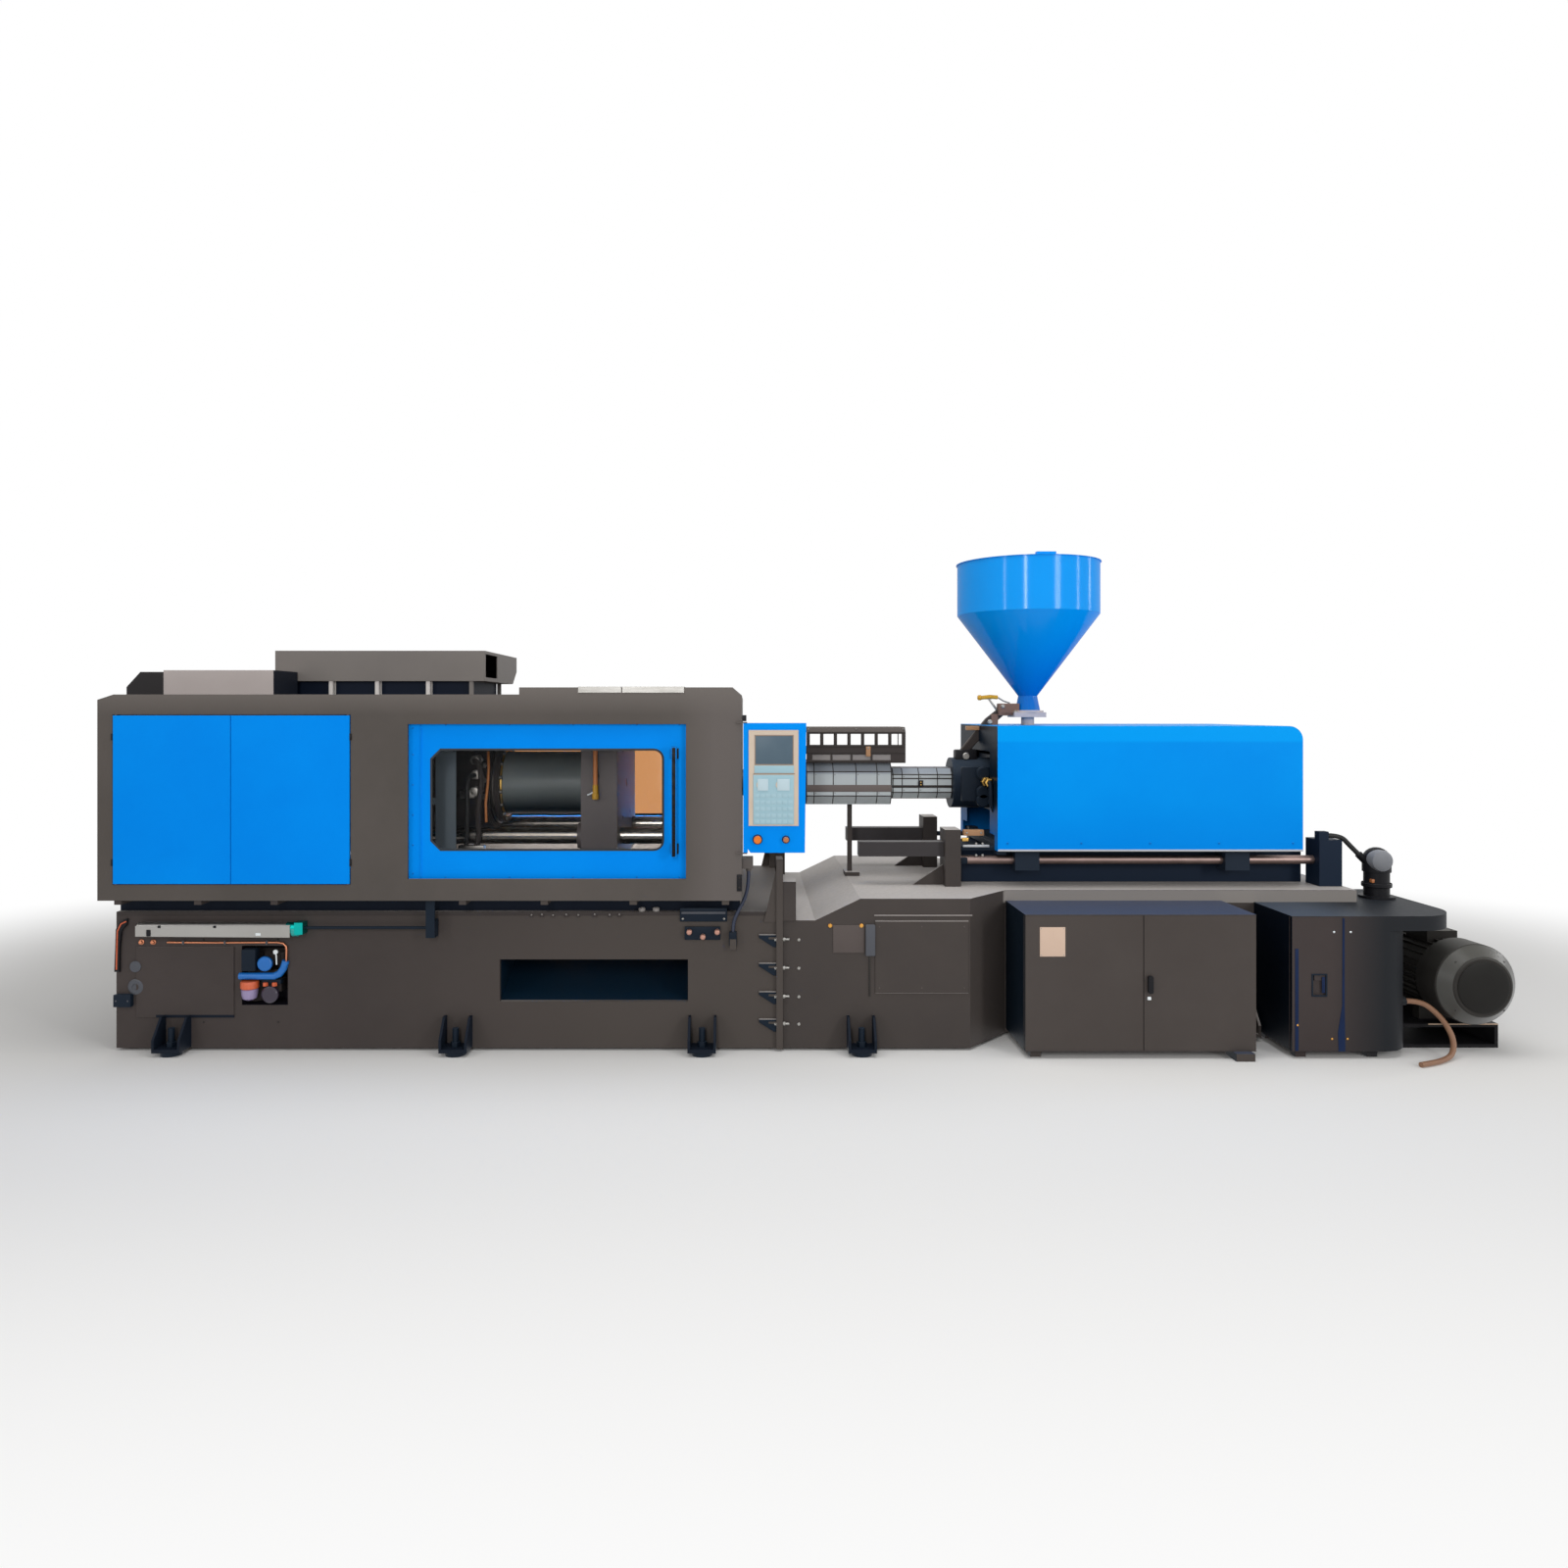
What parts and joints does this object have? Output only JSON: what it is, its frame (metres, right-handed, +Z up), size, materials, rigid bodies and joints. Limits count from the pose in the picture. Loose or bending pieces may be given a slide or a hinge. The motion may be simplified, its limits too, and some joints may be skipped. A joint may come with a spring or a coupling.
{
  "type": "injection moulding machine",
  "caption": "Horizontal injection moulding machine with ram clamp behind sliding gates, reciprocating screw unit under a cover, hopper, control panel, electric cabinet and hydraulic drive.",
  "frame": {"origin": "middle of the machine's outline on the floor", "axes": "+X from the clamp unit to the injection unit, -Y towards the operator, +Z up"},
  "size_m": [8.022, 2.2981, 2.9473],
  "materials": {
    "air_unit": "moulded",
    "barrel": "turned",
    "barrel_guard_front": "folded",
    "barrel_guard_rear": "folded",
    "barrel_guard_top": "satin",
    "cabinet_door_left": "satin",
    "cabinet_door_right": "satin",
    "cabinet_handle": "moulded",
    "carriage": "satin",
    "clamp_base": "satin",
    "clamp_cylinder": "satin",
    "clamp_door_left": "satin",
    "clamp_door_right": "satin",
    "clamp_ram": "ground",
    "control_panel": "satin",
    "crosshead": "machined",
    "cylinder_platen": "satin",
    "drain_hose": "smooth",
    "drive_motor": "satin",
    "ejector_rod": "polished",
    "electric_cabinet": "satin",
    "emergency_stop": "moulded",
    "fixed_platen": "satin",
    "front_gate": "satin",
    "front_window": "clear",
    "gate_cylinder": "anodised",
    "gate_rails": "rolled",
    "gate_rod": "drawn",
    "guard_front": "satin",
    "guard_rear": "satin",
    "guard_top": "satin",
    "guide_rods": "polished",
    "hopper": "satin",
    "hopper_lid": "rolled",
    "injection_base": "satin",
    "injection_cover": "satin",
    "injection_cylinders": "machined",
    "inner_shield": "satin",
    "levelling_pads": "cast",
    "motor_fan": "pressed",
    "moving_platen": "satin",
    "nozzle": "turned",
    "panel_cable": "smooth",
    "panel_face": "moulded",
    "pump": "cast",
    "pump_cabinet": "satin",
    "pump_cabinet_door": "satin",
    "rear_gate": "satin",
    "rear_window": "clear",
    "return_filter": "satin",
    "screw": "ground",
    "screw_motor": "cast",
    "shift_cylinder": "machined",
    "shutoff_slide": "folded",
    "start_button": "moulded",
    "suction_hose": "corrugated",
    "tie_bars": "polished",
    "top_hood": "satin",
    "top_lids": "satin",
    "top_tray": "satin"
  },
  "bodies": {
    "machine": {"air_unit": "air_unit", "clamp_base": "clamp_base", "clamp_cylinder": "clamp_cylinder", "cylinder_platen": "cylinder_platen", "drain_hose": "drain_hose", "drive_motor": "drive_motor", "electric_cabinet": "electric_cabinet", "fixed_platen": "fixed_platen", "gate_cylinder": "gate_cylinder", "gate_rails": "gate_rails", "guard_front": "guard_front", "guard_rear": "guard_rear", "guard_top": "guard_top", "guide_rods": "guide_rods", "injection_base": "injection_base", "inner_shield": "inner_shield", "levelling_pads": "levelling_pads", "panel_cable": "panel_cable", "pump": "pump", "pump_cabinet": "pump_cabinet", "return_filter": "return_filter", "shift_cylinder": "shift_cylinder", "suction_hose": "suction_hose", "tie_bars": "tie_bars", "top_hood": "top_hood", "top_lids": "top_lids", "top_tray": "top_tray"},
    "front_gate": {"front_gate": "front_gate", "front_window": "front_window", "gate_rod": "gate_rod"},
    "rear_gate": {"rear_gate": "rear_gate", "rear_window": "rear_window"},
    "clamp_door_left": {"clamp_door_left": "clamp_door_left"},
    "clamp_door_right": {"clamp_door_right": "clamp_door_right"},
    "clamp": {"clamp_ram": "clamp_ram", "moving_platen": "moving_platen"},
    "ejector": {"ejector_rod": "ejector_rod"},
    "control_panel": {"control_panel": "control_panel", "panel_face": "panel_face"},
    "emergency_stop": {"emergency_stop": "emergency_stop"},
    "start_button": {"start_button": "start_button"},
    "carriage": {"carriage": "carriage", "barrel": "barrel", "nozzle": "nozzle", "barrel_guard_front": "barrel_guard_front", "barrel_guard_rear": "barrel_guard_rear", "barrel_guard_top": "barrel_guard_top", "injection_cylinders": "injection_cylinders", "injection_cover": "injection_cover", "hopper": "hopper"},
    "injection": {"crosshead": "crosshead", "screw_motor": "screw_motor"},
    "screw": {"screw": "screw"},
    "hopper_lid": {"hopper_lid": "hopper_lid"},
    "shutoff_slide": {"shutoff_slide": "shutoff_slide"},
    "cabinet_door_left": {"cabinet_door_left": "cabinet_door_left"},
    "cabinet_door_right": {"cabinet_door_right": "cabinet_door_right"},
    "cabinet_handle": {"cabinet_handle": "cabinet_handle"},
    "pump_cabinet_door": {"pump_cabinet_door": "pump_cabinet_door"},
    "motor_fan": {"motor_fan": "motor_fan"}
  },
  "joints": [
    {"name": "front_gate_slide", "type": "slide", "parent": "machine", "child": "front_gate", "axis": [-1, 0, 0], "range_m": [0, 0.69]},
    {"name": "rear_gate_slide", "type": "slide", "parent": "machine", "child": "rear_gate", "axis": [-1, 0, 0], "range_m": [0, 0.69]},
    {"name": "clamp_door_left_hinge", "type": "hinge", "parent": "machine", "child": "clamp_door_left", "pos_m": [-3.908, -1.047, 1.458], "axis": [0, 0, -1], "range_deg": [0, 105]},
    {"name": "clamp_door_right_hinge", "type": "hinge", "parent": "machine", "child": "clamp_door_right", "pos_m": [-2.604, -1.047, 1.458], "axis": [0, 0, 1], "range_deg": [0, 105]},
    {"name": "clamp_slide", "type": "slide", "parent": "machine", "child": "clamp", "axis": [1, 0, 0], "range_m": [-0.46, 0.1]},
    {"name": "ejector_slide", "type": "slide", "parent": "clamp", "child": "ejector", "axis": [1, 0, 0], "range_m": [0, 0.15]},
    {"name": "panel_swivel", "type": "hinge", "parent": "machine", "child": "control_panel", "pos_m": [-0.372, -1.05, 1.525], "axis": [0, 0, -1], "range_deg": [0, 85]},
    {"name": "emergency_stop_push", "type": "slide", "parent": "control_panel", "child": "emergency_stop", "axis": [0, 1, 0], "range_m": [0, 0.006]},
    {"name": "start_button_push", "type": "slide", "parent": "control_panel", "child": "start_button", "axis": [0, 1, 0], "range_m": [0, 0.004], "stiffness_N_per_m": 500},
    {"name": "carriage_slide", "type": "slide", "parent": "machine", "child": "carriage", "axis": [1, 0, 0], "range_m": [0, 0.3]},
    {"name": "injection_slide", "type": "slide", "parent": "carriage", "child": "injection", "axis": [1, 0, 0], "range_m": [0, 0.25]},
    {"name": "screw_spin", "type": "hinge", "parent": "injection", "child": "screw", "pos_m": [2.43, 0, 1.484], "axis": [1, 0, 0], "continuous": true},
    {"name": "hopper_lid_hinge", "type": "hinge", "parent": "carriage", "child": "hopper_lid", "pos_m": [1.5, 0.475, 2.933], "axis": [-1, 0, 0], "range_deg": [0, 100]},
    {"name": "shutoff_pull", "type": "slide", "parent": "carriage", "child": "shutoff_slide", "axis": [-1, 0, 0], "range_m": [0, 0.1]},
    {"name": "cabinet_door_left_hinge", "type": "hinge", "parent": "machine", "child": "cabinet_door_left", "pos_m": [1.218, -1.04, 0.427], "axis": [0, 0, -1], "range_deg": [0, 100]},
    {"name": "cabinet_door_right_hinge", "type": "hinge", "parent": "machine", "child": "cabinet_door_right", "pos_m": [2.491, -1.04, 0.427], "axis": [0, 0, 1], "range_deg": [0, 100]},
    {"name": "cabinet_handle_turn", "type": "hinge", "parent": "cabinet_door_right", "child": "cabinet_handle", "pos_m": [1.904, -1.05, 0.455], "axis": [0, -1, 0], "range_deg": [0, 90]},
    {"name": "pump_door_hinge", "type": "hinge", "parent": "machine", "child": "pump_cabinet_door", "pos_m": [2.717, -1.04, 0.427], "axis": [0, 0, -1], "range_deg": [0, 100]},
    {"name": "fan_spin", "type": "hinge", "parent": "machine", "child": "motor_fan", "pos_m": [3.781, -0.6, 0.402], "axis": [0, 1, 0], "continuous": true}
  ]
}
